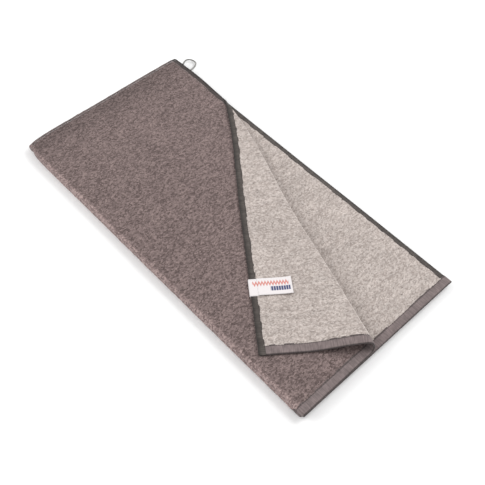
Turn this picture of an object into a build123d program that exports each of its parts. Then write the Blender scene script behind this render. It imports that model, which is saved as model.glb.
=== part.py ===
from build123d import *

import math
import os

# Golf towel: a two-tone terry hand towel, folded lengthwise and then crosswise into four plies,
# with one hemmed corner of the top ply turned back.
#
# Frame, in millimetres: the origin is the centre of the folded rectangle on its underside. +X runs
# along the folded length to the hemmed ends, +Y to the open side hems, +Z up. The crosswise fold
# is at -X and the lengthwise fold is at -Y. Plies are counted from the top: ply 1 and ply 2 are
# the upper half, ply 3 and ply 4 the lower half.

os.makedirs("parts", exist_ok=True)

# Driving dimensions: the cloth
FOLDED_LENGTH = 500.0
FOLDED_WIDTH = 250.0
PILE = 0.95  # one face's loops, pressed under the plies above
GROUND = 0.9  # the ground weave between the two piles
FOLD_GAP = 0.2  # between the two plies of one half
BODY_GAP = 0.3  # between pieces that move apart
LOWER_SETBACK = 4.0  # the lower half's end hem lies this far inside the upper half's

# Hems and their seams
END_HEM = 12.0
SIDE_HEM = 8.0
HEM_THICKNESS = 2.3
THREAD_WIDTH = 0.7
THREAD_HEIGHT = 0.2
SEAM_INSET = 1.3  # from a hem's inner edge to its seam
SEAM_END = 1.0  # a seam stops this far short of an edge

# The turned corner
CREASE_START_X = -141.0  # where its crease meets the side hem's edge
CREASE_END_Y = -7.0  # where its crease meets the end hem's edge
CORNER_RADIUS = 2.5
OPEN_RADIUS = 7.2  # the crease's roll, at mid cloth, where the stiff end hem holds it open
ROLL_START = 2.0  # the roll's ends, from the crease line's own ends
ROLL_END = 5.0

# The label
LABEL_WIDTH = 23.0
LABEL_LENGTH = 49.0
LABEL_THICKNESS = 0.4
LABEL_TO_CORNER = 74.0  # along the side hem, from the towel's corner to the label

# The hanging loop
LOOP_DIAMETER = 2.2
LOOP_DROOP = 15.0  # degrees below the horizontal
LOOP_X = -225.0
LOOP_STANDOFF = 1.4  # from the hem's edge to the line that the loop bends at
TACK_LENGTH = 4.0  # the bar tacks that hold its ends
BEND_SHARE = 0.45  # of a corner's shorter run that its bend takes up

# Worked out from them
PLY = 2 * PILE + GROUND
HALF = 2 * PLY + FOLD_GAP
SECTION = {
    "dark_pile": (0, PILE),
    "ground_weave": (PILE, PILE + GROUND),
    "light_pile": (PILE + GROUND, PLY),
}
HEM_INSET = (PLY - HEM_THICKNESS) / 2
LOWER_BASE = 0.0
UPPER_BASE = HALF + BODY_GAP
STACK_TOP = UPPER_BASE + HALF
CORNER_BASE = STACK_TOP + BODY_GAP
EDGE = BODY_GAP / 2
END_X = FOLDED_LENGTH / 2
SIDE_Y = FOLDED_WIDTH / 2
TERRY_END_X = END_X - END_HEM
TERRY_SIDE_Y = SIDE_Y - SIDE_HEM
CROSS_AXIS_Z = HALF + EDGE
CROSS_AXIS_X = -END_X + CROSS_AXIS_Z
SLAB_START_X = CROSS_AXIS_X + EDGE
LONG_FOLD_Y = -SIDE_Y + HALF / 2
SEAM_X = TERRY_END_X + SEAM_INSET
SEAM_Y = TERRY_SIDE_Y + SEAM_INSET

# The turned corner's crease
crease_start = Vector(CREASE_START_X, SIDE_Y, 0)
crease_end = Vector(END_X, CREASE_END_Y, 0)
crease_along = (crease_end - crease_start).normalized()
crease_normal = Vector(-crease_along.Y, crease_along.X)
crease_length = (crease_end - crease_start).length


# The crease is rolled, not sharp. Half of the roll's arc is cloth from each side of the crease
# line, so the roll's foot and its top stand a quarter turn's length inside that line.
TIGHT_RADIUS = (PLY + BODY_GAP) / 2


def roll_radius(distance):
    """The roll's radius at mid cloth, at a distance along the crease."""
    return TIGHT_RADIUS + (OPEN_RADIUS - TIGHT_RADIUS) * distance / crease_length


def setback(distance):
    return roll_radius(distance) * math.pi / 2


foot_line = (
    crease_start - crease_normal * setback(0),
    crease_end - crease_normal * setback(crease_length),
)
top_line = (
    crease_start + crease_normal * setback(0),
    crease_end + crease_normal * setback(crease_length),
)


def meet_y(line, y, gap=0.0):
    """Where a line across the towel meets y, and the gap beyond it."""
    start, end = line
    at = start + (end - start) * ((y - start.Y) / (end.Y - start.Y))
    return at + Vector(gap / crease_normal.X, 0)


def meet_x(line, x, gap=0.0):
    start, end = line
    at = start + (end - start) * ((x - start.X) / (end.X - start.X))
    return at + Vector(0, gap / crease_normal.Y)


def turned(point):
    """Where a plan point of the flat corner lies once the corner is turned back."""
    return point - crease_normal * (2 * (point - crease_start).dot(crease_normal))


def plan(point):
    return (point.X, point.Y)


def save(part, name):
    part.label = name
    export_step(part, f"parts/{name}.step")


def cut_corner():
    """Takes what lies beyond the roll's foot out of ply 1, in the part being built."""
    near = crease_normal * -EDGE
    far = crease_normal * FOLDED_WIDTH
    run_out = (foot_line[1] - foot_line[0]).normalized() * SIDE_Y
    ends = (foot_line[0] - run_out, foot_line[1] + run_out)
    outline = [ends[0] + near, ends[1] + near, ends[1] + far, ends[0] + far]
    with BuildSketch(Plane.XY.offset(STACK_TOP - PLY - FOLD_GAP / 2)) as beyond:
        with BuildLine():
            Polyline(*[plan(p) for p in outline], close=True)
        make_face()
    extrude(beyond.sketch, amount=PLY + FOLD_GAP, mode=Mode.SUBTRACT)


def folded_strip(base, depths, start_x, end_x, side_y):
    """One layer of a half's cloth: two plies joined by the lengthwise fold, as one U section."""
    outer, inner = (HALF / 2 - depth for depth in depths)
    reach = side_y - LONG_FOLD_Y
    with BuildSketch(Plane.YZ.offset(start_x)) as section:
        with Locations((LONG_FOLD_Y, base + HALF / 2)):
            Circle(outer)
            Rectangle(reach, 2 * outer, align=(Align.MIN, Align.CENTER))
            Circle(inner, mode=Mode.SUBTRACT)
            Rectangle(reach, 2 * inner, align=(Align.MIN, Align.CENTER), mode=Mode.SUBTRACT)
    extrude(section.sketch, amount=end_x - start_x)


def ply_base(ply):
    """Underside of a ply, counted from 1 at the top."""
    tops = {1: STACK_TOP, 2: STACK_TOP - PLY - FOLD_GAP, 3: HALF, 4: PLY}
    return tops[ply] - PLY


def bar(x0, x1, y0, y1, z0, z1):
    with Locations(((x0 + x1) / 2, (y0 + y1) / 2, (z0 + z1) / 2)):
        Box(x1 - x0, y1 - y0, z1 - z0)


def thread_bases(hem_base):
    """A lockstitch shows on both faces of a hem: bobbin thread below, needle thread above."""
    return hem_base - THREAD_HEIGHT, hem_base + HEM_THICKNESS


# The two halves: pile and ground weave layers, U-shaped round the lengthwise fold
HALVES = {
    "upper": (UPPER_BASE, END_X, (1, 2)),
    "lower": (LOWER_BASE, END_X - LOWER_SETBACK, (3, 4)),
}

for half, (base, end_x, plies) in HALVES.items():
    hem_start = end_x - END_HEM
    for layer, depths in SECTION.items():
        with BuildPart() as cloth:
            folded_strip(base, depths, SLAB_START_X, hem_start, TERRY_SIDE_Y)
            if half == "upper":
                cut_corner()
        save(cloth.part, f"{half}_{layer}")

    with BuildPart() as end_hem:
        folded_strip(base, (HEM_INSET, HEM_INSET + HEM_THICKNESS), hem_start, end_x, SIDE_Y)
        if half == "upper":
            cut_corner()
    save(end_hem.part, f"{half}_end_hem")

    for ply in plies:
        hem_base = ply_base(ply) + HEM_INSET
        with BuildPart() as side_hem:
            hem_top = hem_base + HEM_THICKNESS
            bar(SLAB_START_X, hem_start, TERRY_SIDE_Y, SIDE_Y, hem_base, hem_top)
            if ply == 1:
                cut_corner()
        save(side_hem.part, f"{half}_side_hem_ply_{ply}")

    with BuildPart() as end_seam:
        for ply in plies:
            for z in thread_bases(ply_base(ply) + HEM_INSET):
                x = hem_start + SEAM_INSET
                bar(x, x + THREAD_WIDTH, LONG_FOLD_Y, SIDE_Y - SEAM_END, z, z + THREAD_HEIGHT)
        if half == "upper":
            cut_corner()
    save(end_seam.part, f"{half}_end_hem_seam")

    with BuildPart() as side_seam:
        for ply in plies:
            for z in thread_bases(ply_base(ply) + HEM_INSET):
                bar(SLAB_START_X, hem_start, SEAM_Y, SEAM_Y + THREAD_WIDTH, z, z + THREAD_HEIGHT)
        if half == "upper":
            cut_corner()
    save(side_seam.part, f"{half}_side_hem_seam")

# The crosswise fold: the outer roll joins ply 1 to ply 4, the inner roll ply 2 to ply 3
CROSS_ROLLS = {
    "cross_fold_outer_roll": (CROSS_AXIS_Z, PLY, LONG_FOLD_Y, TERRY_SIDE_Y),
    "cross_fold_inner_roll": (PLY + EDGE, PLY, LONG_FOLD_Y, TERRY_SIDE_Y),
    "cross_fold_outer_hem": (CROSS_AXIS_Z - HEM_INSET, HEM_THICKNESS, TERRY_SIDE_Y, SIDE_Y),
    "cross_fold_inner_hem": (PLY + EDGE - HEM_INSET, HEM_THICKNESS, TERRY_SIDE_Y, SIDE_Y),
}
for name, (radius, thickness, start_y, end_y) in CROSS_ROLLS.items():
    with BuildPart() as roll:
        with BuildSketch(Plane.XZ.offset(-end_y)):
            with Locations((CROSS_AXIS_X, CROSS_AXIS_Z)):
                Circle(radius)
                Circle(radius - thickness, mode=Mode.SUBTRACT)
                Rectangle(radius, 2 * radius, align=(Align.MIN, Align.CENTER), mode=Mode.SUBTRACT)
        extrude(amount=end_y - start_y)
    save(roll.part, name)


# The turned corner: its plan is the flat corner's outline, mirrored over the crease line. Its
# plates start under the roll's top.
def turned_plate(outline, base, thickness, rounded=False):
    with BuildSketch(Plane.XY.offset(base)) as plate:
        with BuildLine():
            Polyline(*[plan(turned(p)) for p in outline], close=True)
        make_face()
        if rounded:
            tip = turned(Vector(END_X, SIDE_Y))
            fillet(plate.vertices().sort_by_distance((tip.X, tip.Y, 0))[0], CORNER_RADIUS)
    extrude(plate.sketch, amount=thickness)


terry_outline = [
    meet_y(top_line, TERRY_SIDE_Y, EDGE),
    Vector(TERRY_END_X, TERRY_SIDE_Y),
    meet_x(top_line, TERRY_END_X, EDGE),
]
side_hem_outline = [
    meet_y(top_line, SIDE_Y, EDGE),
    Vector(TERRY_END_X, SIDE_Y),
    Vector(TERRY_END_X, TERRY_SIDE_Y),
    meet_y(top_line, TERRY_SIDE_Y, EDGE),
]
end_hem_outline = [
    Vector(TERRY_END_X, SIDE_Y),
    Vector(END_X, SIDE_Y),
    meet_x(top_line, END_X, EDGE),
    meet_x(top_line, TERRY_END_X, EDGE),
]

# The corner is upside down, so its light pile is on top
for layer, (top, bottom) in SECTION.items():
    with BuildPart() as corner_cloth:
        turned_plate(terry_outline, CORNER_BASE + top, bottom - top)
    save(corner_cloth.part, f"corner_{layer}")

CORNER_HEM_BASE = CORNER_BASE + HEM_INSET
with BuildPart() as corner_side_hem:
    turned_plate(side_hem_outline, CORNER_HEM_BASE, HEM_THICKNESS)
save(corner_side_hem.part, "corner_side_hem")

with BuildPart() as corner_end_hem:
    turned_plate(end_hem_outline, CORNER_HEM_BASE, HEM_THICKNESS, rounded=True)
save(corner_end_hem.part, "corner_end_hem")

CORNER_SEAMS = {
    "corner_side_hem_seam": [
        meet_y(top_line, SEAM_Y, SEAM_END),
        Vector(TERRY_END_X, SEAM_Y),
        Vector(TERRY_END_X, SEAM_Y + THREAD_WIDTH),
        meet_y(top_line, SEAM_Y + THREAD_WIDTH, SEAM_END),
    ],
    "corner_end_hem_seam": [
        Vector(SEAM_X, SIDE_Y - SEAM_END),
        Vector(SEAM_X + THREAD_WIDTH, SIDE_Y - SEAM_END),
        meet_x(top_line, SEAM_X + THREAD_WIDTH, SEAM_END),
        meet_x(top_line, SEAM_X, SEAM_END),
    ],
}
for name, outline in CORNER_SEAMS.items():
    with BuildPart() as corner_seam:
        for z in thread_bases(CORNER_HEM_BASE):
            turned_plate(outline, z, THREAD_HEIGHT)
    save(corner_seam.part, name)


# The crease's roll, tight at the side hem and open at the stiff end hem
def roll_section(distance, thickness):
    """The roll's half ring across the crease, its foot level with ply 1."""
    mid = roll_radius(distance)
    inner, outer = mid - thickness / 2, mid + thickness / 2
    at = crease_start + crease_along * distance - crease_normal * setback(distance)
    section_plane = Plane(
        origin=(at.X, at.Y, STACK_TOP - PLY / 2 + mid),
        x_dir=(crease_normal.X, crease_normal.Y, 0),
        z_dir=(crease_along.X, crease_along.Y, 0),
    )
    with BuildSketch(section_plane) as half_ring:
        with BuildLine():
            Line((0, outer), (0, inner))
            CenterArc((0, 0), inner, 90, -180)
            Line((0, -inner), (0, -outer))
            CenterArc((0, 0), outer, -90, 180)
        make_face()
    return half_ring.sketch


SIDE_HEM_RUN = SIDE_HEM / crease_normal.X  # the hems' widths, measured along the crease
END_HEM_RUN = END_HEM / crease_normal.Y
roll_stop = crease_length - ROLL_END
CORNER_ROLLS = {
    "corner_fold_side_hem": (ROLL_START, SIDE_HEM_RUN, HEM_THICKNESS),
    "corner_fold_roll": (SIDE_HEM_RUN, roll_stop - END_HEM_RUN, PLY),
    "corner_fold_end_hem": (roll_stop - END_HEM_RUN, roll_stop, HEM_THICKNESS),
}
for name, (start, stop, thickness) in CORNER_ROLLS.items():
    with BuildPart() as corner_roll:
        add(roll_section(start, thickness))
        add(roll_section(stop, thickness))
        loft(ruled=True)
    save(corner_roll.part, name)

# The label: a woven tab wrapped over the corner's side hem, its long end free on the light face
LABEL_X = END_X - LABEL_TO_CORNER - LABEL_WIDTH
TAB_BASE = CORNER_BASE + PLY + EDGE
WRAP_TOP = CORNER_HEM_BASE + HEM_THICKNESS + THREAD_HEIGHT


def strip_outline(x, width, y0, y1):
    return [Vector(x, y0), Vector(x + width, y0), Vector(x + width, y1), Vector(x, y1)]


with BuildPart() as label_wrap:
    wrap_y = SIDE_Y + LABEL_THICKNESS
    over_hem = strip_outline(LABEL_X, LABEL_WIDTH, TERRY_SIDE_Y + EDGE, wrap_y)
    turned_plate(over_hem, WRAP_TOP, LABEL_THICKNESS)
    round_edge = strip_outline(LABEL_X, LABEL_WIDTH, SIDE_Y, wrap_y)
    turned_plate(round_edge, CORNER_HEM_BASE, WRAP_TOP - CORNER_HEM_BASE)
save(label_wrap.part, "label_wrap")

with BuildPart() as label_tab:
    free_end = strip_outline(LABEL_X, LABEL_WIDTH, SIDE_Y - LABEL_LENGTH, TERRY_SIDE_Y - EDGE)
    turned_plate(free_end, TAB_BASE, LABEL_THICKNESS)
save(label_tab.part, "label_tab")

with BuildPart() as label_stitches:
    for x in (LABEL_X + THREAD_WIDTH, LABEL_X + LABEL_WIDTH - 2 * THREAD_WIDTH):
        row = strip_outline(x, THREAD_WIDTH, TERRY_SIDE_Y + SEAM_END, SIDE_Y - SEAM_END)
        turned_plate(row, WRAP_TOP + LABEL_THICKNESS, THREAD_HEIGHT)
save(label_stitches.part, "label_stitches")

# The hanging loop: a cord sewn to ply 2's side hem, drooping to the surface under the towel.
# Its route is in its own sloping plane: u along the hem, v outward from the hinge line.
LOOP_Y = SIDE_Y + LOOP_STANDOFF
LOOP_Z = ply_base(2) + PLY / 2
LOOP_ROUTE = [(-8, 1.3), (-12.5, 9), (-13.5, 18), (-8, 24), (0, 22.5), (6, 14.5), (8, 1.3)]
droop = math.radians(LOOP_DROOP)
loop_plane = Plane(
    origin=(LOOP_X, LOOP_Y, LOOP_Z),
    x_dir=(1, 0, 0),
    z_dir=(0, math.sin(droop), math.cos(droop)),
)


def bend_radii(route):
    """Each corner's arc: a share of its shorter run, divided by the tangent of half the turn."""
    radii = []
    for before, at, after in zip(route, route[1:], route[2:]):
        run_in = Vector(*at) - Vector(*before)
        run_out = Vector(*after) - Vector(*at)
        half_turn = math.radians(run_in.get_angle(run_out)) / 2
        radii.append(BEND_SHARE * min(run_in.length, run_out.length) / math.tan(half_turn))
    return radii


loop_radii = bend_radii(LOOP_ROUTE)
with BuildPart() as hanging_loop:
    with BuildLine(loop_plane) as loop_path:
        FilletPolyline(*LOOP_ROUTE, radius=loop_radii)
    path_wire = loop_path.wires()[0]
    with BuildSketch(Plane(origin=path_wire @ 0, z_dir=path_wire % 0)) as cord_section:
        Circle(LOOP_DIAMETER / 2)
    sweep(cord_section.sketch, path=path_wire)
save(hanging_loop.part, "hanging_loop")

cord_volume = math.pi * (LOOP_DIAMETER / 2) ** 2 * path_wire.length
print("loop bend radii:", [round(r, 1) for r in loop_radii])
print("loop length:", round(path_wire.length, 1))
print("loop volume ratio:", round(hanging_loop.part.volume / cord_volume, 3))

LOOP_FEET = [LOOP_X + LOOP_ROUTE[0][0], LOOP_X + LOOP_ROUTE[-1][0]]
FOOT_ALIGN = (Align.CENTER, Align.CENTER, Align.MIN)
with BuildPart() as loop_roots:
    for x in LOOP_FEET:
        with Locations(Plane(origin=(x, SIDE_Y, LOOP_Z), z_dir=(0, 1, 0))):
            Cylinder(LOOP_DIAMETER / 2, LOOP_STANDOFF - EDGE, align=FOOT_ALIGN)
save(loop_roots.part, "hanging_loop_roots")

with BuildPart() as loop_bartacks:
    tack_start = SEAM_Y + THREAD_WIDTH + SEAM_END
    tack_base = ply_base(2) + HEM_INSET + HEM_THICKNESS
    tack_top = tack_base + THREAD_HEIGHT
    for x in LOOP_FEET:
        half_tack = TACK_LENGTH / 2
        bar(x - half_tack, x + half_tack, tack_start, SIDE_Y - SEAM_END, tack_base, tack_top)
save(loop_bartacks.part, "hanging_loop_bartacks")
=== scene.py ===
import math

import bmesh
import bpy
import numpy as np
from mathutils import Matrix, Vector


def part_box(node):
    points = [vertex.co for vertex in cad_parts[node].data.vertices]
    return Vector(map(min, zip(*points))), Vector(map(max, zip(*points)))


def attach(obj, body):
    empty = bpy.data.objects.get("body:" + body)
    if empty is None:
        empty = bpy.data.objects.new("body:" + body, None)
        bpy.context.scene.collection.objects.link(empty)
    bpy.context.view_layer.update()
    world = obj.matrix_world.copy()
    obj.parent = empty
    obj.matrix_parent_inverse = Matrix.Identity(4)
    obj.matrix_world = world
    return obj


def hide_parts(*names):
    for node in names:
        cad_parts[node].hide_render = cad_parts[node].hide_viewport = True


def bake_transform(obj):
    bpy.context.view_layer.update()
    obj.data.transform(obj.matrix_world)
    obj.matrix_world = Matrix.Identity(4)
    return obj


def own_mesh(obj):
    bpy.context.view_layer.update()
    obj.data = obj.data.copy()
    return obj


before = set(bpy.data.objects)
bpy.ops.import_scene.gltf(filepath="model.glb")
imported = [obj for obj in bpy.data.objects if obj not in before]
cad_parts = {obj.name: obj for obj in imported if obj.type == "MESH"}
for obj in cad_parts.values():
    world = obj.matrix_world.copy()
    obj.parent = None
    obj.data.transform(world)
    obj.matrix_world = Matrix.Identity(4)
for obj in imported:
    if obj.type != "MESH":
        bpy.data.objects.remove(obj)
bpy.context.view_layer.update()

# Golf towel. Sizes are in millimetres up to the point where a mesh is made.
MM = 0.001


def low(node, axis):
    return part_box(node)[0][axis] / MM


def high(node, axis):
    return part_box(node)[1][axis] / MM


END_X = high("upper_end_hem", 0)
SIDE_Y = high("upper_side_hem_ply_2", 1)
TERRY_X = low("upper_end_hem", 0)
TERRY_Y = low("upper_side_hem_ply_2", 1)
START_X = low("upper_dark_pile", 0)
LOWER_END_X = high("lower_end_hem", 0)
LOWER_TERRY_X = low("lower_end_hem", 0)
STACK = high("upper_dark_pile", 2)
HALF = high("lower_dark_pile", 2)
UPPER = low("upper_dark_pile", 2)
CORNER = low("corner_dark_pile", 2)
PLY = high("corner_light_pile", 2) - CORNER
HEM = high("corner_side_hem", 2) - low("corner_side_hem", 2)
FOLD_Y = low("upper_dark_pile", 1) + HALF / 2
CROSS_Z = (HALF + UPPER) / 2
CROSS_X = START_X - (UPPER - HALF) / 2
MID_1 = STACK - PLY / 2  # the middle of ply 1
FLAP_Z = CORNER + PLY / 2

# The turned corner's crease, as in part.py
CREASE_START = np.array([-141.0, 125.0])
CREASE_END = np.array([250.0, -7.0])
CREASE_LENGTH = float(np.linalg.norm(CREASE_END - CREASE_START))
ALONG = (CREASE_END - CREASE_START) / CREASE_LENGTH
ACROSS = np.array([-ALONG[1], ALONG[0]])
TIGHT_RADIUS = (PLY + UPPER - HALF) / 2
OPEN_RADIUS = 7.2

SEAM_INSET = 1.3
FRINGE = 1.7  # how far the pile spills over a hem's inner edge
FINE = 3.0  # the grid is finer this close to a hem or a fold
ROLL_RUN = 19.0  # the cloth that the crosswise fold takes up
LABEL_X = (153.0, 176.0)
LABEL_LENGTH = 49.0


# Noise on a lattice, from -1 to 1, from seeded tables
TABLES = {}
TABLE_SIZE = 256


def smooth(t):
    t = np.clip(t, 0, 1)
    return t * t * (3 - 2 * t)


def lattice(u, v, cell, seed):
    if seed not in TABLES:
        table_shape = (TABLE_SIZE, TABLE_SIZE)
        TABLES[seed] = np.random.default_rng(seed).uniform(-1, 1, table_shape)
    table = TABLES[seed]
    u, v = u / cell, v / cell
    i, j = np.floor(u).astype(int), np.floor(v).astype(int)
    fu, fv = smooth(u - i), smooth(v - j)
    next_i, next_j = (i + 1) % TABLE_SIZE, (j + 1) % TABLE_SIZE
    i, j = i % TABLE_SIZE, j % TABLE_SIZE
    near = table[i, j] * (1 - fu) + table[next_i, j] * fu
    far = table[i, next_j] * (1 - fu) + table[next_i, next_j] * fu
    return near * (1 - fv) + far * fv


# The stack's uneven lie: waves of a size, over cells of a width, from a seed
BROAD_SWELL, BROAD_CELL, BROAD_SEED = 0.55, 105, 11
NARROW_SWELL, NARROW_CELL, NARROW_SEED = 0.35, 47, 12
DRIFT, DRIFT_CELL, DRIFT_SEEDS = 0.7, 120, (21, 22)
MOST_LIFT = 1.3  # the most of it that a point above the stack takes
BLUNT_BY = (6.5, 3.5)  # the corner between the two folds is drawn in
BLUNT_REACH = 11
SIDE_PRESS = 0.13  # the share of its height that the stack loses at its open side


def swell(x, y):
    """How far the top of the stack stands above flat."""
    broad = BROAD_SWELL * lattice(x, y, BROAD_CELL, BROAD_SEED)
    return broad + NARROW_SWELL * lattice(x, y, NARROW_CELL, NARROW_SEED)


def settle(p):
    """The flattened, slightly uneven lie of the stack: each ply follows the ones under it."""
    x, y, z = p[:, 0], p[:, 1], p[:, 2]
    share = np.clip(z / STACK, 0, MOST_LIFT)
    from_corner = np.hypot(x - low("upper_dark_pile", 0), y - low("upper_dark_pile", 1))
    blunt = np.exp(-from_corner / BLUNT_REACH)
    out = p.copy()
    for axis in (0, 1):
        out[:, axis] += DRIFT * lattice(x, y, DRIFT_CELL, DRIFT_SEEDS[axis]) * share
        out[:, axis] += BLUNT_BY[axis] * blunt
    out[:, 2] += swell(x, y) * share
    out[:, 2] *= 1 - SIDE_PRESS * smooth((y - TERRY_Y + 1) / (SIDE_Y - TERRY_Y))
    return out


# Where a point of the flat cloth lies: each map takes flat coordinates to mid-cloth points
def section(v):
    """(y, height above the half's underside) round the lengthwise fold, at mid cloth."""
    radius = (HALF - PLY) / 2
    arc = math.pi * radius
    turn = np.clip((FOLD_Y - v) / arc, 0, 1) * math.pi
    past = np.clip(FOLD_Y - arc - v, 0, None)
    y = np.where(v > FOLD_Y, v, FOLD_Y - radius * np.sin(turn) + past)
    return y, HALF / 2 + radius * np.cos(turn)


def flat_v(y):
    """The flat coordinate of a point of the half's lower ply."""
    return 2 * FOLD_Y - math.pi * (HALF - PLY) / 2 - y


V_FAR = flat_v(SIDE_Y)
V_TERRY = flat_v(TERRY_Y)
V_BEND = FOLD_Y - math.pi * (HALF - PLY) / 2
FOLD_GAIN = math.pi * PLY / 2


def run_of_pile(v):
    """The flat coordinate as the pile's outer face has it, which is longer round the fold."""
    return v - FOLD_GAIN * np.clip((FOLD_Y - v) / (FOLD_Y - V_BEND), 0, 1)


# Ply 1's side hem bows out between the hanging loop and the turned corner
SIDE_BOW, SIDE_BOW_X, SIDE_BOW_REACH = 1.9, -196, 42
SIDE_BOW_FROM_Y, SIDE_BOW_RUN = 40, 85


def stack_bow(x, y):
    """How far ply 1 stands out past the plies under it."""
    along = np.exp(-(((x - SIDE_BOW_X) / SIDE_BOW_REACH) ** 2))
    return SIDE_BOW * along * smooth((y - SIDE_BOW_FROM_Y) / SIDE_BOW_RUN)


def roll_radius(a):
    """The roll's radius, which opens along the crease and a little past its end."""
    return TIGHT_RADIUS + (OPEN_RADIUS - TIGHT_RADIUS) * np.clip(a / CREASE_LENGTH, 0, 1.03)


# How far the crease lies inside its straight line, and where along it
BOW_AT = np.array([-40.0, 0.0, 68.0, 140.0, 207.0, 263.0, 331.0, 380.0, 450.0])
BOW = np.array([0.0, 1.0, -3.6, -0.6, 4.0, 2.6, 1.6, 1.8, 2.0])
BOW_FADE = 45  # and how far from the crease the bow dies out
BOW_SMOOTHING = (12, 24)


def crease_bow(a):
    found = np.interp(a, BOW_AT, BOW)
    for reach in BOW_SMOOTHING:
        beside = np.interp(a - reach, BOW_AT, BOW) + np.interp(a + reach, BOW_AT, BOW)
        found = 0.5 * found + 0.25 * beside
    return found


# The flap drops from the roll to the stack over this run, and further for each mm of drop
DROP_RUN, DROP_SLOPE = 10, 5


def corner_map(x, y):
    """Ply 1, the roll and the turned corner as one cloth."""
    p = np.stack([x, y], 1) - CREASE_START
    a, b = p @ ALONG, p @ ACROSS
    radius = roll_radius(a)
    foot = radius * math.pi / 2
    beyond = b + foot
    turn = np.clip(beyond / radius, 0, math.pi)
    on_flap = np.clip(beyond - math.pi * radius, 0, None)
    inward = np.where(beyond < 0, -b, foot - radius * np.sin(turn) + on_flap)
    top = MID_1 + radius * (1 - np.cos(turn))
    drop = np.clip(2 * radius + MID_1 - FLAP_Z, 0, None)
    z = top - drop * smooth(on_flap / (DROP_RUN + DROP_SLOPE * drop))
    near = np.exp(-((np.abs(inward - foot) / BOW_FADE) ** 2))
    inward = inward + crease_bow(a) * near
    plan = CREASE_START + a[:, None] * ALONG - inward[:, None] * ACROSS
    return np.column_stack([plan, z])


FLAT_WITHIN = 0.2  # ply 1 counts as flat until it has risen this far


def upper_map(x, v):
    y, h = section(v)
    top = v > FOLD_Y
    turned = corner_map(x, np.where(top, v, FOLD_Y))
    stacked = np.column_stack([x, y, UPPER + h])
    out = np.where(top[:, None], turned, stacked)
    still_flat = out[:, 2] < MID_1 + FLAT_WITHIN
    out[:, 1] += np.where(top, stack_bow(x, v) * still_flat, 0)
    return out


def lower_map(x, v):
    y, h = section(v)
    return np.column_stack([x, y, HALF - h])


def cross_map(s, v):
    """s is the turn round the crosswise fold, from 0 at the upper half to 1 at the lower."""
    y, h = section(v)
    radius = UPPER + h - CROSS_Z
    x = CROSS_X - radius * np.sin(math.pi * s)
    out = np.column_stack([x, y, CROSS_Z + radius * np.cos(math.pi * s)])
    out[:, 1] += np.where(v > FOLD_Y, stack_bow(START_X + 0 * y, v) * (1 - s), 0)
    return out


ROLL_SHADE_REACH = 13  # how far from the crease the painted shade beside the roll reaches


def nap(where, u, v):
    """How far round the roll each point of the pile lies, and the painted shade the roll casts on
    it.
    """
    y = section(v)[0]
    under = (where is upper_map) * (v < FOLD_Y)
    p = np.stack([u, np.where(under, y, v)], 1) - CREASE_START
    a, b = p @ ALONG, p @ ACROSS
    radius = roll_radius(a)
    turned = np.clip((b / radius + math.pi / 2) / math.pi, 0, 1) * (1 - under)
    cast_shade = np.exp(-np.clip(b, 0, None) / ROLL_SHADE_REACH) * under
    return np.column_stack([turned, cast_shade])


# The faces of the cloth: half its thickness, plus the pile
PINCH_DEPTH, PINCH_REACH = 0.85, 1.1  # the pile thins out at its edge
FINE_LUMPS, FINE_CELL = 0.16, 4.3
COARSE_LUMPS, COARSE_CELL = 0.12, 7.7
LUMPS_VARY, VARY_CELL = 0.5, 60
DARK_SEED, LIGHT_SEED = 31, 41


def pile(u, v, seed):
    v = run_of_pile(v)
    fine = FINE_LUMPS * lattice(u, v, FINE_CELL, seed)
    coarse = COARSE_LUMPS * lattice(u, v, COARSE_CELL, seed + 1)
    return (fine + coarse) * (1 + LUMPS_VARY * lattice(u, v, VARY_CELL, seed + 2))


def terry_faces(u, v, gap):
    """The dark and the light side of terry that ends a gap away."""
    half = PLY / 2 - PINCH_DEPTH * np.exp(-np.clip(gap, 0, None) / PINCH_REACH)
    return half + pile(u, v, DARK_SEED), half + pile(u, v, LIGHT_SEED)


ROUND_FROM, ROUND_OVER, ROUND_BY = 0.86, 0.14, 0.75  # shares of a hem's width and thickness
SEAM_DEPTH, SEAM_REACH = 0.34, 0.55
HEM_PUFF = 0.10
HEM_WAVE, WAVE_CELL, WAVES_ACROSS, WAVE_SEED = 0.05, 6, 9, 51


def hem_faces(start, width, along_v):
    """A folded hem: flat, rounded at its outer edge, and drawn in at its seam."""

    def faces(u, v):
        run, place = (u, v) if along_v else (v, u)
        across = np.abs((place - start) / width)
        round_off = 1 - np.clip((across - ROUND_FROM) / ROUND_OVER, 0, 1) ** 2 * ROUND_BY
        from_seam = across * abs(width) - SEAM_INSET
        seam = SEAM_DEPTH * np.exp(-((from_seam / SEAM_REACH) ** 2))
        puff = HEM_PUFF * np.sin(np.clip(across, 0, 1) * math.pi)
        wave = HEM_WAVE * lattice(run, across * WAVES_ACROSS, WAVE_CELL, WAVE_SEED)
        half = (HEM / 2) * round_off - seam + (puff + wave)
        return half, half

    return faces


PROBE = 0.05  # the step for finding which way a laid-out cloth faces
TURN_PROBE = 1e-3  # the same where u is a turn from 0 to 1
CUT_WITHIN = 1e-4


def facing(where, u, v):
    """The directions along u and along v, and the unit normal, at points of a laid-out cloth."""
    step = TURN_PROBE if where is cross_map else PROBE
    du = where(u + step, v) - where(u - step, v)
    dv = where(u, v + PROBE) - where(u, v - PROBE)
    normal = np.cross(du, dv)
    return du, dv, normal / np.linalg.norm(normal, axis=1)[:, None]


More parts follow.
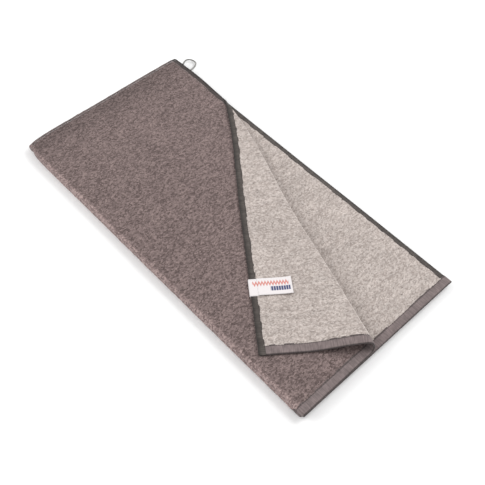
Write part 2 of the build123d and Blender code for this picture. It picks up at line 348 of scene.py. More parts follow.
def flat_grid(us, vs, cuts):
    """A grid of (u, v) cut by lines: its points, its polygons and the edges of its rim."""
    bm = bmesh.new()
    grid = [[bm.verts.new((u, v, 0)) for v in vs] for u in us]
    for i in range(len(us) - 1):
        for j in range(len(vs) - 1):
            bm.faces.new((grid[i][j], grid[i + 1][j], grid[i + 1][j + 1], grid[i][j + 1]))
    for point, inward in cuts:
        everything = bm.verts[:] + bm.edges[:] + bm.faces[:]
        bmesh.ops.bisect_plane(
            bm, geom=everything, dist=CUT_WITHIN, clear_inner=True,
            plane_co=(*point, 0), plane_no=(*inward, 0),
        )
    bm.verts.index_update()
    flat = np.array([v.co[:2] for v in bm.verts])
    polygons = [[v.index for v in f.verts] for f in bm.faces]
    rim = []
    for edge in bm.edges:
        if len(edge.link_faces) == 1:
            loop = edge.link_loops[0]
            rim.append((loop.vert.index, loop.link_loop_next.vert.index))
    bm.free()
    return flat, polygons, rim


def placed(name, data):
    """A new object in the scene."""
    piece = bpy.data.objects.new(name, data)
    bpy.context.collection.objects.link(piece)
    return piece


MATERIALS = {}


def cloth(name, us, vs, where, faces, sign, looks, cuts=()):
    """A closed piece of cloth, laid out from a flat grid by a map. faces gives how far the dark
    and light sides stand from mid cloth, and sign says which side the map's normal is on.
    Each cut is (point, direction into what stays)."""
    flat, polygons, rim = flat_grid(us, vs, cuts)
    u, v = flat[:, 0], flat[:, 1]
    mid = where(u, v)
    normal = facing(where, u, v)[2] * sign
    out_by, in_by = faces(u, v)
    outer = settle(mid + normal * out_by[:, None])
    inner = settle(mid - normal * in_by[:, None])
    count = len(flat)
    if sign < 0:
        polygons = [p[::-1] for p in polygons]
        rim = [(b, a) for a, b in rim]
    back = [[i + count for i in p[::-1]] for p in polygons]
    sides = [(b, a, a + count, b + count) for a, b in rim]
    mesh = bpy.data.meshes.new(name)
    mesh.from_pydata(np.vstack([outer, inner]) * MM, [], polygons + back + sides)
    for look in looks:
        mesh.materials.append(MATERIALS[look])
    slots = [0] * len(polygons) + [1 % len(looks)] * len(back) + [0] * len(sides)
    rounded = [True] * (len(polygons) + len(back)) + [False] * len(sides)
    mesh.polygons.foreach_set("material_index", slots)
    mesh.polygons.foreach_set("use_smooth", rounded)
    if where is cross_map:
        flat[:, 0] = START_X - ROLL_RUN * flat[:, 0]
    flat[:, 1] = run_of_pile(flat[:, 1])
    corners = np.empty(len(mesh.loops), int)
    mesh.loops.foreach_get("vertex_index", corners)
    layers = {"flat": flat * MM}
    # The shares of painted highlight on the roll and of painted shade beside it
    if where in (upper_map, corner_map):
        layers["nap"] = nap(where, u, v)
    for layer, places in layers.items():
        uvs = places[corners % count].ravel()
        mesh.uv_layers.new(name=layer).data.foreach_set("uv", uvs)
    mesh.update()
    return placed(name, mesh)


def ticks(start, *stretches):
    """Grid lines from a start, through stretches of (end, step)."""
    lines = [np.array([start])]
    for end, step in stretches:
        count = max(1, round(abs(end - start) / step))
        lines.append(np.linspace(start, end, count + 1)[1:])
        start = end
    return np.concatenate(lines)


# Materials
def linear(*screen):
    """A colour's 0-255 screen values, none of them near black, as linear light."""
    return (*(((value / 255 + 0.055) / 1.055) ** 2.4 for value in screen), 1)


def material(name):
    m = bpy.data.materials.new(name)
    m.use_nodes = True
    MATERIALS[name] = m
    nodes, links = m.node_tree.nodes, m.node_tree.links
    nodes.clear()
    shader = nodes.new("ShaderNodeBsdfPrincipled")
    output = nodes.new("ShaderNodeOutputMaterial")
    links.new(shader.outputs["BSDF"], output.inputs["Surface"])
    return nodes, links, shader


def object_noise(nodes, links, scale, detail=None):
    """Smooth noise of a detail in the piece's own space, or fine cells where none is given."""
    coords = nodes.new("ShaderNodeTexCoord")
    if detail is None:
        tex = nodes.new("ShaderNodeTexVoronoi")
        out = tex.outputs["Distance"]
    else:
        tex = nodes.new("ShaderNodeTexNoise")
        tex.inputs["Detail"].default_value = detail
        out = tex.outputs["Fac"]
    tex.inputs["Scale"].default_value = scale
    links.new(coords.outputs["Object"], tex.inputs["Vector"])
    return out


def ramp(nodes, links, source, stops):
    """A source from 0 to 1 as a colour, through stops of (place, colour)."""
    node = nodes.new("ShaderNodeValToRGB")
    elements = node.color_ramp.elements
    while len(elements) < len(stops):
        elements.new(0.5)
    for element, (position, colour) in zip(elements, stops):
        element.position, element.color = position, colour
    links.new(source, node.inputs["Fac"])
    return node.outputs["Color"]


def multiply(nodes, links, one, other):
    node = nodes.new("ShaderNodeMix")
    node.data_type, node.blend_type = "RGBA", "MULTIPLY"
    node.inputs["Factor"].default_value = 1
    links.new(one, node.inputs["A"])
    links.new(other, node.inputs["B"])
    return node.outputs["Result"]


def grey(value):
    return (value, value, value, 1)


def shaded_by(nodes, links, colour, source, *stops):
    """Multiplies a colour by greys set along a source, as (place, grey)."""
    shades = ramp(nodes, links, source, [(place, grey(value)) for place, value in stops])
    return multiply(nodes, links, colour, shades)


def bumped(nodes, links, shader, heights):
    """Bump from (height, strength, distance) in turn."""
    last = None
    for height, strength, distance in heights:
        bump = nodes.new("ShaderNodeBump")
        bump.inputs["Strength"].default_value = strength
        bump.inputs["Distance"].default_value = distance
        links.new(height, bump.inputs["Height"])
        if last is not None:
            links.new(last, bump.inputs["Normal"])
        last = bump.outputs["Normal"]
    links.new(last, shader.inputs["Normal"])


def flat_noise(nodes, links, per_metre, stretch=1.0, detail=1.0, rough=0.5, cells=False):
    """Noise laid on the flat cloth, drawn out along its width: smooth, or one shade to a cell."""
    coords = nodes.new("ShaderNodeUVMap")
    coords.uv_map = "flat"
    mapping = nodes.new("ShaderNodeMapping")
    mapping.inputs["Scale"].default_value = (per_metre, per_metre / stretch, 1)
    links.new(coords.outputs["UV"], mapping.inputs["Vector"])
    tex = nodes.new("ShaderNodeTexVoronoi" if cells else "ShaderNodeTexNoise")
    tex.inputs["Scale"].default_value = 1
    links.new(mapping.outputs["Vector"], tex.inputs["Vector"])
    if cells:
        return tex.outputs["Color"]
    tex.inputs["Detail"].default_value = detail
    tex.inputs["Roughness"].default_value = rough
    return tex.outputs["Fac"]


def shaded_by_uv(nodes, links, colour, layer, axis, stops):
    """Multiplies a colour by greys set along one axis of a UV layer."""
    coords = nodes.new("ShaderNodeUVMap")
    coords.uv_map = layer
    split = nodes.new("ShaderNodeSeparateXYZ")
    links.new(coords.outputs["UV"], split.inputs["Vector"])
    lowest, highest = stops[0][0], stops[-1][0]
    spread = nodes.new("ShaderNodeMapRange")
    spread.inputs["From Min"].default_value = lowest
    spread.inputs["From Max"].default_value = highest
    links.new(split.outputs[axis], spread.inputs["Value"])
    shades = [((place - lowest) / (highest - lowest), value) for place, value in stops]
    return shaded_by(nodes, links, colour, spread.outputs["Result"], *shades)


def on_cloth(*stops):
    """Stops along the flat cloth, whose UVs are in metres."""
    return [(place * MM, value) for place, value in stops]


# Painted light along the flat cloth, as (place, share): a painted highlight on the pile round
# the lengthwise fold, and painted shade towards the crosswise fold.
LENGTHWISE_LIGHT = on_cloth(
    (FOLD_Y - 10, 1), (FOLD_Y - 7, 1.7), (FOLD_Y - 0.5, 1.6), (FOLD_Y + 2.5, 1)
)
CROSSWISE_LIGHT = on_cloth(
    (START_X, 0.72), (START_X + 14, 0.77), (START_X + 22, 0.88), (START_X + 50, 1)
)
# Painted highlight on the roll's ridge, as (share of the turn, brightness); painted shade beside it
ROLL_LIGHT = [(0.54, 1), (0.60, 1.6), (0.67, 1.45), (0.76, 1)]
BESIDE_ROLL_SHADE = [(0, 1), (1, 0.84)]


def terry(name, base, shade, tint, specks):
    """Looped pile in three shades. The light side also has dark specks of a brightness."""
    nodes, links, shader = material(name)
    loops = flat_noise(nodes, links, 820, 1.5, 1.5, 0.6)
    tufts = flat_noise(nodes, links, 700, 1.4, cells=True)
    rows = flat_noise(nodes, links, 210, 6, 1)
    clumps = flat_noise(nodes, links, 150, 1.3, 2)
    patches = flat_noise(nodes, links, 14, 1, 2)
    colour = ramp(nodes, links, tufts, [(0.20, shade), (0.50, base), (0.80, tint)])
    for source, darkest, brightest in (
        (loops, 0.90, 1.06), (clumps, 0.92, 1.05), (patches, 0.95, 1.05), (rows, 0.90, 1.05),
    ):
        colour = shaded_by(nodes, links, colour, source, (0.3, darkest), (0.7, brightest))
    # Painted highlight round the lengthwise fold
    colour = shaded_by_uv(nodes, links, colour, "flat", "Y", LENGTHWISE_LIGHT)
    if specks:
        # Painted highlight on the roll's ridge, and painted shade on the ply beside the roll
        colour = shaded_by_uv(nodes, links, colour, "nap", "X", ROLL_LIGHT)
        colour = shaded_by_uv(nodes, links, colour, "nap", "Y", BESIDE_ROLL_SHADE)
        dots = flat_noise(nodes, links, 520, 2.2, 0.5)
        colour = shaded_by(nodes, links, colour, dots, (0.25, specks), (0.36, 1))
    else:
        # Painted shade towards the crosswise fold
        colour = shaded_by_uv(nodes, links, colour, "flat", "X", CROSSWISE_LIGHT)
    links.new(colour, shader.inputs["Base Color"])
    shader.inputs["Roughness"].default_value = 0.95
    shader.inputs["Specular IOR Level"].default_value = 0.15
    shader.inputs["Sheen Weight"].default_value = 0.5
    shader.inputs["Sheen Roughness"].default_value = 0.35
    bumped(nodes, links, shader, [(clumps, 0.35, 0.002), (rows, 0.3, 0.002), (loops, 0.55, 0.001)])


def weave(name, base, shade, pitch, strength, ribs=None, edges=()):
    """A flat woven cloth: fine crossing threads, and a little streaking. ribs are (per metre,
    stretch), and edges are (axis, stops) along the flat cloth."""
    nodes, links, shader = material(name)
    streaks = object_noise(nodes, links, 160, 3)
    threads = object_noise(nodes, links, pitch)
    patches = object_noise(nodes, links, 30, 2)
    colour = ramp(nodes, links, streaks, [(0.3, shade), (0.68, base)])
    colour = shaded_by(nodes, links, colour, patches, (0.3, 0.92), (0.7, 1.05))
    heights = [(streaks, 0.25, 0.0008), (threads, strength, 0.0004)]
    if ribs:
        lines = flat_noise(nodes, links, *ribs)
        colour = shaded_by(nodes, links, colour, lines, (0.36, 0.80), (0.62, 1.10))
        heights.append((lines, 0.4, 0.0006))
    # Painted shade along the hems' edges
    for axis, stops in edges:
        colour = shaded_by_uv(nodes, links, colour, "flat", axis, stops)
    links.new(colour, shader.inputs["Base Color"])
    shader.inputs["Roughness"].default_value = 0.85
    shader.inputs["Specular IOR Level"].default_value = 0.25
    shader.inputs["Sheen Weight"].default_value = 0.15
    bumped(nodes, links, shader, heights)


terry("dark_terry", linear(117, 102, 100), linear(93, 80, 78), linear(140, 123, 120), 0)
terry("light_terry", linear(183, 172, 166), linear(162, 151, 145), linear(200, 190, 184), 0.66)

# Painted shade: the side hems darken to their outer edges, and the end hems also at their seams
NEAR_SIDE = V_FAR - FOLD_GAIN
SIDE_EDGE_SHADE = [("Y", on_cloth(
    (NEAR_SIDE + 0.2, 0.5), (NEAR_SIDE + 3.5, 1), (SIDE_Y - 4.5, 1), (SIDE_Y - 0.2, 0.45),
))]
END_EDGE_SHADE = [("X", on_cloth(
    (TERRY_X + 0.4, 0.6), (TERRY_X + 1.9, 0.62), (TERRY_X + 2.6, 1),
    (END_X - 1.7, 1), (END_X - 0.6, 0.35),
))]
SIDE_RIBS, END_RIBS = (700, 10), (70, 0.1)
weave("side_hem", linear(86, 80, 76), linear(70, 64, 61), 1400, 0.3, SIDE_RIBS, SIDE_EDGE_SHADE)
weave("side_hem_dark", linear(71, 62, 60), linear(57, 50, 48), 1400, 0.3, SIDE_RIBS, SIDE_EDGE_SHADE)
weave("end_hem", linear(130, 117, 116), linear(112, 101, 100), 1200, 0.35, END_RIBS, END_EDGE_SHADE)
weave("seam_thread", linear(78, 70, 68), linear(62, 55, 54), 2500, 0.3)
weave("loop_cord", linear(150, 149, 146), linear(124, 123, 120), 1800, 0.5)


# The label's marks, across it from 0 to 1 and along it from the hem's edge to the free end
ZIGZAG_HALF, ZIGZAG_SLOPE = 0.036, 5.2
ZIGZAG_BAND, ZIGZAG_RUN = (0.13, 0.29), (0.06, 0.92)
BLOCK_HALF, BLOCK_GAP = 0.030, 0.006
BLOCK_BAND, BLOCK_RUN = (0.50, 0.76), (0.47, 0.95)
PAST_BLOCK = 0.05


def label_material():
    """White ribbon with a coral zigzag over a row of navy blocks."""
    nodes, links, shader = material("label")
    coords = nodes.new("ShaderNodeUVMap")
    coords.uv_map = "marks"
    split = nodes.new("ShaderNodeSeparateXYZ")
    links.new(coords.outputs["UV"], split.inputs["Vector"])

    def worked(operation, *values):
        """One Math node over sockets and numbers."""
        node = nodes.new("ShaderNodeMath")
        node.operation = operation
        for socket, value in zip(node.inputs, values):
            if isinstance(value, bpy.types.NodeSocket):
                links.new(value, socket)
            else:
                socket.default_value = value
        return node.outputs["Value"]

    def step(source, place, soft, rises):
        """0 to 1 at a place on the source, or 1 to 0."""
        node = nodes.new("ShaderNodeMapRange")
        node.inputs["From Min"].default_value = place - soft
        node.inputs["From Max"].default_value = place + soft
        node.inputs["To Min"].default_value = 0 if rises else 1
        node.inputs["To Max"].default_value = 1 if rises else 0
        links.new(source, node.inputs["Value"])
        return node.outputs["Result"]

    def band(source, lowest, highest, soft=0.01):
        """1 between two places on the source, and 0 elsewhere."""
        up, down = step(source, lowest, soft, True), step(source, highest, soft, False)
        return worked("MULTIPLY", up, down)

    def printed(over, colour, share):
        node = nodes.new("ShaderNodeMix")
        node.data_type = "RGBA"
        if isinstance(over, bpy.types.NodeSocket):
            links.new(over, node.inputs["A"])
        else:
            node.inputs["A"].default_value = over
        node.inputs["B"].default_value = colour
        links.new(share, node.inputs["Factor"])
        return node.outputs["Result"]

    along, across = split.outputs["X"], split.outputs["Y"]
    wave = worked("PINGPONG", along, ZIGZAG_HALF)
    lifted = worked("MULTIPLY_ADD", wave, -ZIGZAG_SLOPE, across)
    coral = worked("MULTIPLY", band(lifted, *ZIGZAG_BAND), band(along, *ZIGZAG_RUN))
    gaps = worked("PINGPONG", along, BLOCK_HALF)
    blocks = worked("MULTIPLY", band(gaps, BLOCK_GAP, PAST_BLOCK, 0.003), band(across, *BLOCK_BAND))
    navy = worked("MULTIPLY", blocks, band(along, *BLOCK_RUN))
    colour = printed(linear(224, 218, 218), linear(204, 130, 120), coral)
    colour = printed(colour, linear(52, 62, 106), navy)
    links.new(colour, shader.inputs["Base Color"])
    shader.inputs["Roughness"].default_value = 0.55
    shader.inputs["Sheen Weight"].default_value = 0.2
    bumped(nodes, links, shader, [(object_noise(nodes, links, 2200), 0.25, 0.0002)])


label_material()

# Cuts along the crease: the roll's foot, and the crease line itself
FOOT = (
    CREASE_START - ACROSS * roll_radius(0) * math.pi / 2,
    CREASE_END - ACROSS * OPEN_RADIUS * math.pi / 2,
)
foot_run = (FOOT[1] - FOOT[0]) / np.linalg.norm(FOOT[1] - FOOT[0])
FOOT_NORMAL = np.array([-foot_run[1], foot_run[0]])
PLY_1_CUT = [(FOOT[0], -FOOT_NORMAL)]
ROLL_CUT = [(FOOT[0], FOOT_NORMAL), (CREASE_START, -ACROSS)]
FLAP_CUT = [(CREASE_START, ACROSS)]


def keep(piece, body, slot, *nodes):
    """Sets a piece's body, if one is given, and hides the CAD nodes that it replaces. slot is not
    used.
    """
    if body:
        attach(piece, body)
    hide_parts(*nodes)
    return piece


# The materials of a cloth's dark side and light side
TERRY = ("dark_terry", "light_terry")
SIDE_HEM = ("side_hem_dark", "side_hem")
END_HEM = ("end_hem",)

END_FACES = hem_faces(TERRY_X, END_X - TERRY_X, False)
LOWER_END_FACES = hem_faces(LOWER_TERRY_X, END_X - TERRY_X, False)
SIDE_FACES = hem_faces(TERRY_Y, SIDE_Y - TERRY_Y, True)
FAR_FACES = hem_faces(V_TERRY, V_FAR - V_TERRY, True)


def half_faces(end_x, mirrored=False):
    """A half's terry. The lower half's cloth carries on from the crosswise fold's."""

    def faces(u, v):
        side_gap = np.minimum(TERRY_Y + FRINGE - v, v - V_TERRY + FRINGE)
        run = 2 * START_X - ROLL_RUN - u if mirrored else u
        return terry_faces(run, v, np.minimum(end_x + FRINGE - u, side_gap))

    return faces


def cross_faces(s, v):
    gap = np.minimum(TERRY_Y + FRINGE - v, v - V_TERRY + FRINGE)
    return terry_faces(START_X - ROLL_RUN * s, v, gap)


def corner_faces(x, y):
    return terry_faces(x, y, np.minimum(TERRY_X - x, TERRY_Y - y) + FRINGE)


# Grid steps: of the halves that show and that don't, of the turned corner, and near edges and folds
SEEN_STEP, HIDDEN_STEP, CORNER_STEP, HEM_STEP = 2.3, 4.5, 1.7, 3
EDGE_STEP, FOLD_STEP, BEND_STEP, CROSS_BEND_STEP = 0.6, 1, 0.5, 0.4


def terry_ticks(start, end, step):
    """Grid lines up to a hem, finer where the pile spills over it."""
    return ticks(start, (end - FINE, step), (end + FRINGE, EDGE_STEP))


def down_the_section(step, hem=False):
    """Grid lines round the lengthwise fold, from the far edge of one ply to that of the other."""
    edge, far = (SIDE_Y, V_FAR) if hem else (TERRY_Y + FRINGE, V_TERRY - FRINGE)
    return ticks(
        edge, (edge - FINE, EDGE_STEP), (FOLD_Y + FINE, step), (FOLD_Y, FOLD_STEP),
        (V_BEND, BEND_STEP), (V_BEND - FINE, FOLD_STEP), (far + FINE, step), (far, EDGE_STEP),
    )[::-1]


# The two halves' terry
keep(
    cloth("upper_half_cloth", terry_ticks(START_X, TERRY_X, SEEN_STEP), down_the_section(SEEN_STEP),
          upper_map, half_faces(TERRY_X), 1, TERRY, PLY_1_CUT),
    "upper_half", "dark_terry", "upper_dark_pile", "upper_ground_weave", "upper_light_pile",
)
keep(
    cloth("lower_half_cloth", terry_ticks(START_X, LOWER_TERRY_X, HIDDEN_STEP),
          down_the_section(HIDDEN_STEP), lower_map, half_faces(LOWER_TERRY_X, True), -1, TERRY),
    "lower_half", "dark_terry", "lower_dark_pile", "lower_ground_weave", "lower_light_pile",
)

# The crosswise fold: a length of terry and a side hem for each of its two nested turns
V_MID = (FOLD_Y + V_BEND) / 2
CROSS_S = np.linspace(0, 1, 19)
CROSS_HEM_LINES = 9
INNER_BLEND = 1.45
outer_v = ticks(
    TERRY_Y + FRINGE, (TERRY_Y - FINE, EDGE_STEP), (FOLD_Y + FINE, SEEN_STEP), (FOLD_Y, FOLD_STEP),
    (V_MID, CROSS_BEND_STEP),
)[::-1]
inner_v = ticks(
    V_MID, (V_BEND, CROSS_BEND_STEP), (V_BEND - FINE, FOLD_STEP), (V_TERRY + FINE, SEEN_STEP),
    (V_TERRY - FRINGE, EDGE_STEP),
)[::-1]
outer_blend = (MID_1 - PLY * 2.75, MID_1 - PLY / 2)
inner_blend = (CROSS_Z - INNER_BLEND, CROSS_Z + INNER_BLEND)
CROSS_PARTS = {
    "outer": (outer_v, (TERRY_Y, SIDE_Y), SIDE_FACES, outer_blend, "dark_terry"),
    "inner": (inner_v, (V_FAR, V_TERRY), FAR_FACES, inner_blend, "light_terry"),
}
for turn, (cloth_v, hem_ends, faces, (blend_from, blend_to), slot) in CROSS_PARTS.items():
    hem_v = np.linspace(*hem_ends, CROSS_HEM_LINES)
    roll = keep(
        cloth(f"cross_fold_{turn}_cloth", CROSS_S, cloth_v, cross_map, cross_faces, -1, TERRY),
        None, slot, f"cross_fold_{turn}_roll",
    )
    roll_hem = keep(
        cloth(f"cross_fold_{turn}_side_hem", CROSS_S, hem_v, cross_map, faces, -1, SIDE_HEM),
        None, "side_hem", f"cross_fold_{turn}_hem",
    )
    for piece in (roll, roll_hem):
        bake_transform(piece)

# The roll and the turned corner
CLOTH_FROM_X, CLOTH_FROM_Y = -170, -60  # past the crease's two ends
corner_x = terry_ticks(CLOTH_FROM_X, TERRY_X, CORNER_STEP)
corner_y = terry_ticks(CLOTH_FROM_Y, TERRY_Y, CORNER_STEP)
hem_x = ticks(TERRY_X, (TERRY_X + FINE, 0.5), (END_X - 2, 1.4), (END_X, 0.4))
hem_y = ticks(TERRY_Y, (TERRY_Y + FINE, 0.5), (SIDE_Y - 2, 1.2), (SIDE_Y, 0.4))
long_x = ticks(CLOTH_FROM_X, (TERRY_X, HEM_STEP), (END_X - FINE, 2), (END_X, EDGE_STEP))
end_y = ticks(CLOTH_FROM_Y, (TERRY_Y, 2))
TIP_CUT = [  # rounds the tip of the turned corner
    ((END_X - 1.5, SIDE_Y), (-0.38, -0.92)),
    ((END_X, SIDE_Y - 1.5), (-0.92, -0.38)),
    ((END_X - 0.95, SIDE_Y - 0.95), (-0.71, -0.71)),
]


# For the roll and the turned corner: (anchor's height, share kept)
ROLL_FLAT = (STACK - 0.2, 0.15)
FLAP_FLAT = (CORNER + 0.6, 0.22)


def flattens(piece, anchor, share):
    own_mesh(piece)


for part, body, cuts, flat_to, terry_nodes, hem_node in (
    ("roll", "upper_half", ROLL_CUT, ROLL_FLAT, ["corner_fold_roll"], "corner_fold"),
    ("corner", "turned_corner", FLAP_CUT, FLAP_FLAT,
     ["corner_dark_pile", "corner_ground_weave", "corner_light_pile"], "corner"),
):
    terry_part = cloth(f"{part}_cloth", corner_x, corner_y, corner_map, corner_faces, 1, TERRY,
                       cuts)
    side_part = cloth(f"{part}_side_band", long_x, hem_y, corner_map, SIDE_FACES, 1, SIDE_HEM,
                      cuts + TIP_CUT)
    end_part = cloth(f"{part}_end_band", hem_x, end_y, corner_map, END_FACES, 1, END_HEM, cuts)
    keep(terry_part, body, "light_terry", *terry_nodes)
    keep(side_part, body, "side_hem", f"{hem_node}_side_hem")
    keep(end_part, body, "end_hem", f"{hem_node}_end_hem")
    for piece in (terry_part, side_part, end_part):
        flattens(piece, *flat_to)

# Hems of the halves
LOWER_BACK = END_X - LOWER_END_X
hem_v = down_the_section(HEM_STEP, True)
keep(
    cloth("upper_half_end_hem", hem_x, hem_v, upper_map, END_FACES, 1, END_HEM, PLY_1_CUT),
    "upper_half", "end_hem", "upper_end_hem",
)
keep(
    cloth("lower_half_end_hem", hem_x - LOWER_BACK, hem_v, lower_map, LOWER_END_FACES, -1, END_HEM),
    "lower_half", "end_hem", "lower_end_hem",
)
near_hem = ticks(V_FAR, (V_FAR + 2, 0.4), (V_TERRY - FINE, 1.2), (V_TERRY, 0.5))
for ply, half, end, lines, where, faces, sign, cuts in (
    (1, "upper", 0, hem_y, upper_map, SIDE_FACES, 1, PLY_1_CUT),  # which cuts it off well before 0
    (2, "upper", TERRY_X, near_hem, upper_map, FAR_FACES, 1, ()),
    (3, "lower", LOWER_TERRY_X, near_hem, lower_map, FAR_FACES, -1, ()),
    (4, "lower", LOWER_TERRY_X, hem_y, lower_map, SIDE_FACES, -1, ()),
):
    hem = cloth(f"side_hem_ply_{ply}", ticks(START_X, (end, HEM_STEP)), lines, where, faces, sign,
                SIDE_HEM, cuts)
    keep(hem, f"{half}_half", "side_hem", f"{half}_side_hem_ply_{ply}")

# Lockstitch: short thread bars on both faces of a hem
STITCH_RINGS = ((-1.0, 0.25), (-0.8, 0.75), (0.0, 1.0), (0.8, 0.75), (1.0, 0.25))
STITCH_SIDES = 6
STITCH_HALF, STITCH_WIDE, STITCH_HIGH = 1.25, 0.38, 0.3


def stitches(name, rows):
    """rows: (map, faces, sign, u, v, side, run along v) for arrays of stitch middles."""
    points, polygons = [], []
    turns = [2 * math.pi * k / STITCH_SIDES for k in range(STITCH_SIDES)]
    for where, faces, sign, u, v, side, along_v in rows:
        du, dv, normal = facing(where, u, v)
        normal = normal * sign * side
        at = where(u, v) + normal * faces(u, v)[0 if side > 0 else 1][:, None]
        run = dv if along_v else du
        run = run / np.linalg.norm(run, axis=1)[:, None]
        wide = np.cross(normal, run)
        for p, r, w, n in zip(at, run, wide, normal):
            first = len(points)
            for place, size in STITCH_RINGS:
                for angle in turns:
                    round_it = w * STITCH_WIDE * math.cos(angle) + n * STITCH_HIGH * math.sin(angle)
                    points.append(p + r * STITCH_HALF * place + size * round_it)
            last = first + (len(STITCH_RINGS) - 1) * STITCH_SIDES
            for ring in range(first, last, STITCH_SIDES):
                for k in range(STITCH_SIDES):
                    a, b = ring + k, ring + (k + 1) % STITCH_SIDES
                    polygons.append((a, b, b + STITCH_SIDES, a + STITCH_SIDES))
            polygons.append(tuple(range(first, first + STITCH_SIDES))[::-1])
            polygons.append(tuple(range(last, last + STITCH_SIDES)))
    mesh = bpy.data.meshes.new(name)
    mesh.from_pydata(settle(np.array(points)) * MM, [], polygons)
    mesh.materials.append(MATERIALS["seam_thread"])
    mesh.polygons.foreach_set("use_smooth", [True] * len(polygons))
    mesh.update()
    return placed(name, mesh)


PITCH = 3.2  # from one stitch to the next


def row(where, faces, sign, side, u=None, v=None, start=0.0, stop=0.0, keeps=None):
    """Stitch middles along a line of the flat cloth, on one face."""
    run = np.arange(min(start, stop) + PITCH / 2, max(start, stop), PITCH)
    us, vs = (np.full(len(run), u), run) if v is None else (run, np.full(len(run), v))
    if keeps is not None:
        wanted = keeps(us, vs)
        us, vs = us[wanted], vs[wanted]
    return where, faces, sign, us, vs, side, v is None


def on_ply_1(x, y):
    """Short of the roll's foot."""
    return (np.stack([x, y], 1) - FOOT[0]) @ FOOT_NORMAL < -0.5


def on_flap(x, y):
    """Clear of the crease, on the turned corner."""
    return (np.stack([x, y], 1) - CREASE_START) @ ACROSS > 2


SEAM_X, SEAM_Y, SEAM_V = TERRY_X + SEAM_INSET, TERRY_Y + SEAM_INSET, V_TERRY - SEAM_INSET
LOWER_SEAM_X = LOWER_TERRY_X + SEAM_INSET
FACE_SIDES = (1, -1)


def half_seam(half, hem, rows):
    seam = stitches(f"{half}_half_{hem}_seam", rows)
    keep(seam, f"{half}_half", "seam_thread", f"{half}_{hem}_hem_seam")


for half, where, sign, faces, seam_x, keeps in (
    ("upper", upper_map, 1, END_FACES, SEAM_X, on_ply_1),
    ("lower", lower_map, -1, LOWER_END_FACES, LOWER_SEAM_X, None),
):
    half_seam(half, "end", [
        row(where, faces, sign, side, u=seam_x, start=V_FAR + 1, stop=SIDE_Y - 1, keeps=keeps)
        for side in FACE_SIDES
    ])
for half, where, sign, stop, keeps in (
    ("upper", upper_map, 1, TERRY_X - 1, on_ply_1),
    ("lower", lower_map, -1, LOWER_TERRY_X - 1, None),
):
    half_seam(half, "side", [
        row(where, faces, sign, side, v=v, start=START_X + 1, stop=stop, keeps=keeps)
        for side in FACE_SIDES
        for v, faces in ((SEAM_Y, SIDE_FACES), (SEAM_V, FAR_FACES))
    ])

side_rows = [
    row(corner_map, SIDE_FACES, 1, side, v=SEAM_Y, start=-160, stop=TERRY_X - 1, keeps=on_flap)
    for side in FACE_SIDES
]
end_rows = [
    row(corner_map, END_FACES, 1, side, u=SEAM_X, start=-60, stop=SIDE_Y - 1, keeps=on_flap)
    for side in FACE_SIDES
]
for hem, rows in (("side", side_rows), ("end", end_rows)):
    seam = stitches(f"corner_{hem}_seam", rows)
    flattens(keep(seam, "turned_corner", "seam_thread", f"corner_{hem}_hem_seam"), *FLAP_FLAT)


# The label: wrapped round the side hem's edge, its long end lying free on the light face
LABEL_HALF = 0.18  # half its thickness
WRAP_RADIUS = HEM / 2 + 0.3
OVER_PILE = 0.55
END_CURL, END_CURL_FROM, END_CURL_RUN = 0.5, 38, 11
SIDE_CURL, SIDE_CURL_FROM, SIDE_CURL_RUN = 0.9, 12, 12
RIPPLE, RIPPLE_LENGTH = 0.12, 5.5


def label_map(x, y):
    held = np.minimum(y, SIDE_Y)
    base = corner_map(x, held)
    _, dv, normal = facing(corner_map, x, held)
    out = dv / np.linalg.norm(dv, axis=1)[:, None]
    on_terry = smooth((TERRY_Y + 1 - y) / 3)
    lift = WRAP_RADIUS + (PLY / 2 + OVER_PILE - WRAP_RADIUS) * on_terry
    lift = lift + END_CURL * smooth((SIDE_Y - y - END_CURL_FROM) / END_CURL_RUN)
    lift = lift + RIPPLE * np.sin(y / RIPPLE_LENGTH) * on_terry
    lift = lift + SIDE_CURL * smooth((x - LABEL_X[0] - SIDE_CURL_FROM) / SIDE_CURL_RUN) * on_terry
    angle = np.clip(y - SIDE_Y, 0, None) / WRAP_RADIUS
    up = np.where(y > SIDE_Y, WRAP_RADIUS * np.cos(angle), lift)
    away = WRAP_RADIUS * np.sin(angle) * (y > SIDE_Y)
    return base - normal * up[:, None] + out * away[:, None]


def label_faces(u, v):
    half = np.full(len(u), LABEL_HALF)
    return half, half


def ribbon(name, vs):
    """A length of the label. Its marks run from 0 at the hem's edge to 1 at the free end."""
    us = np.linspace(*LABEL_X, 15)
    piece = cloth(name, us, vs, label_map, label_faces, 1, ("label",))
    layer = piece.data.uv_layers.new(name="marks")
    count = len(us) * len(vs)
    for loop in piece.data.loops:
        i, j = divmod(loop.vertex_index % count, len(vs))
        across = (us[i] - LABEL_X[0]) / (LABEL_X[1] - LABEL_X[0])
        layer.data[loop.index].uv = ((SIDE_Y - vs[j]) / LABEL_LENGTH, across)
    return piece


HINGE_Y = TERRY_Y - 0.2  # where the free end of the label begins
wrap_y = ticks(HINGE_Y, (SIDE_Y, 1.2), (SIDE_Y + math.pi * WRAP_RADIUS, 0.5))
tab_y = ticks(SIDE_Y - LABEL_LENGTH, (HINGE_Y, 1.4))
keep(ribbon("label_wrap_ribbon", wrap_y), "turned_corner", "label", "label_wrap")
tab = keep(ribbon("label_tab_ribbon", tab_y), None, "label", "label_tab")


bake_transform(tab)
TACK_INSET = 0.9
tack_y = np.linspace(TERRY_Y + 1.6, SIDE_Y - 1, 3)
tacks = stitches("label_tacks", [
    (label_map, label_faces, 1, np.full(len(tack_y), x), tack_y, -1, True)
    for x in (LABEL_X[0] + TACK_INSET, LABEL_X[1] - TACK_INSET)
])
tacks.data.materials[0] = MATERIALS["label"]
keep(tacks, "turned_corner", "label", "label_stitches")

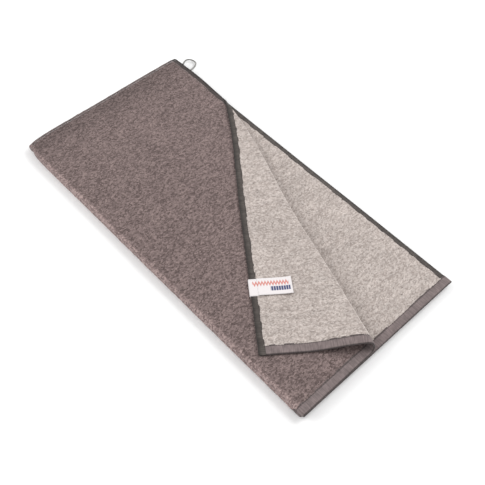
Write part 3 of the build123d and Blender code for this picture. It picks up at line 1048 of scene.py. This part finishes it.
# The hanging loop, whose route is (along the hem, out from it)
LOOP_ROUTE = [
    (-8, 1.3), (-13.5, 9), (-14.7, 16.3), (-11, 21.4), (-4.8, 22.3), (0.6, 18.2), (5, 11), (8, 1.3),
]
LOOP_ORIGIN = Vector((-225, 126.4, 7.5))
LOOP_DROOP = math.radians(15)
LOOP_DIAMETER = 2.2
loop_curve = bpy.data.curves.new("hanging_cord", "CURVE")
loop_curve.dimensions = "3D"
spline = loop_curve.splines.new("NURBS")
spline.points.add(len(LOOP_ROUTE) - 1)
for point, (along, out) in zip(spline.points, LOOP_ROUTE):
    level, sunk = out * math.cos(LOOP_DROOP), out * math.sin(LOOP_DROOP)
    place = LOOP_ORIGIN + Vector((along, level, -sunk))
    point.co = (*(place * MM), 1)
spline.order_u = 3
spline.use_endpoint_u = True
loop_curve.bevel_depth = LOOP_DIAMETER / 2 * MM
loop_curve.bevel_resolution = 5
loop_curve.resolution_u = 16
loop_curve.use_fill_caps = True
loop_curve.materials.append(MATERIALS["loop_cord"])
hanging_cord = keep(placed("hanging_cord", loop_curve), "hanging_loop", "loop_cord", "hanging_loop")
for node, look in (("hanging_loop_roots", "loop_cord"), ("hanging_loop_bartacks", "seam_thread")):
    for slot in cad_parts[node].material_slots:
        slot.material = MATERIALS[look]


# Floor, lights and camera
bpy.ops.mesh.primitive_plane_add(size=30, location=(0, 0, -0.0006))
floor = bpy.context.object
floor.name = "floor"
floor_shader = material("floor")[-1]
floor_shader.inputs["Base Color"].default_value = grey(0.95)
floor_shader.inputs["Roughness"].default_value = 0.9
floor.data.materials.append(MATERIALS["floor"])

world = bpy.data.worlds.new("studio")
bpy.context.scene.world = world
world.use_nodes = True
background = world.node_tree.nodes["Background"]
background.inputs["Color"].default_value = grey(1)
background.inputs["Strength"].default_value = 0.74
bpy.context.scene.view_settings.view_transform = "Standard"


def area_light(name, place, size, power):
    """A soft light, in metres and watts, turned to the middle of the floor."""
    data = bpy.data.lights.new(name, "AREA")
    data.size = size
    data.energy = power
    light = placed(name, data)
    light.location = place
    light.rotation_euler = (-Vector(place)).to_track_quat("-Z", "Y").to_euler()


area_light("key", (0.6, 2.0, 2.0), 1.6, 44)
area_light("side", (-1.7, -1.5, 1.3), 1.6, 30)

CAMERA_AT = Vector((411.5, -405.7, 767.6))
CAMERA_TARGET = Vector((47.3, -20.6, 9.0))
CAMERA_ROLL = math.radians(4.09)
lens = bpy.data.cameras.new("camera")
lens.lens = 57.72
lens.sensor_width = 36
lens.clip_start = 0.01
camera = placed("camera", lens)
camera.location = CAMERA_AT * MM
camera.rotation_euler = (CAMERA_TARGET - CAMERA_AT).to_track_quat("-Z", "Y").to_euler()
camera.rotation_euler.rotate_axis("Z", CAMERA_ROLL)
bpy.context.scene.camera = camera
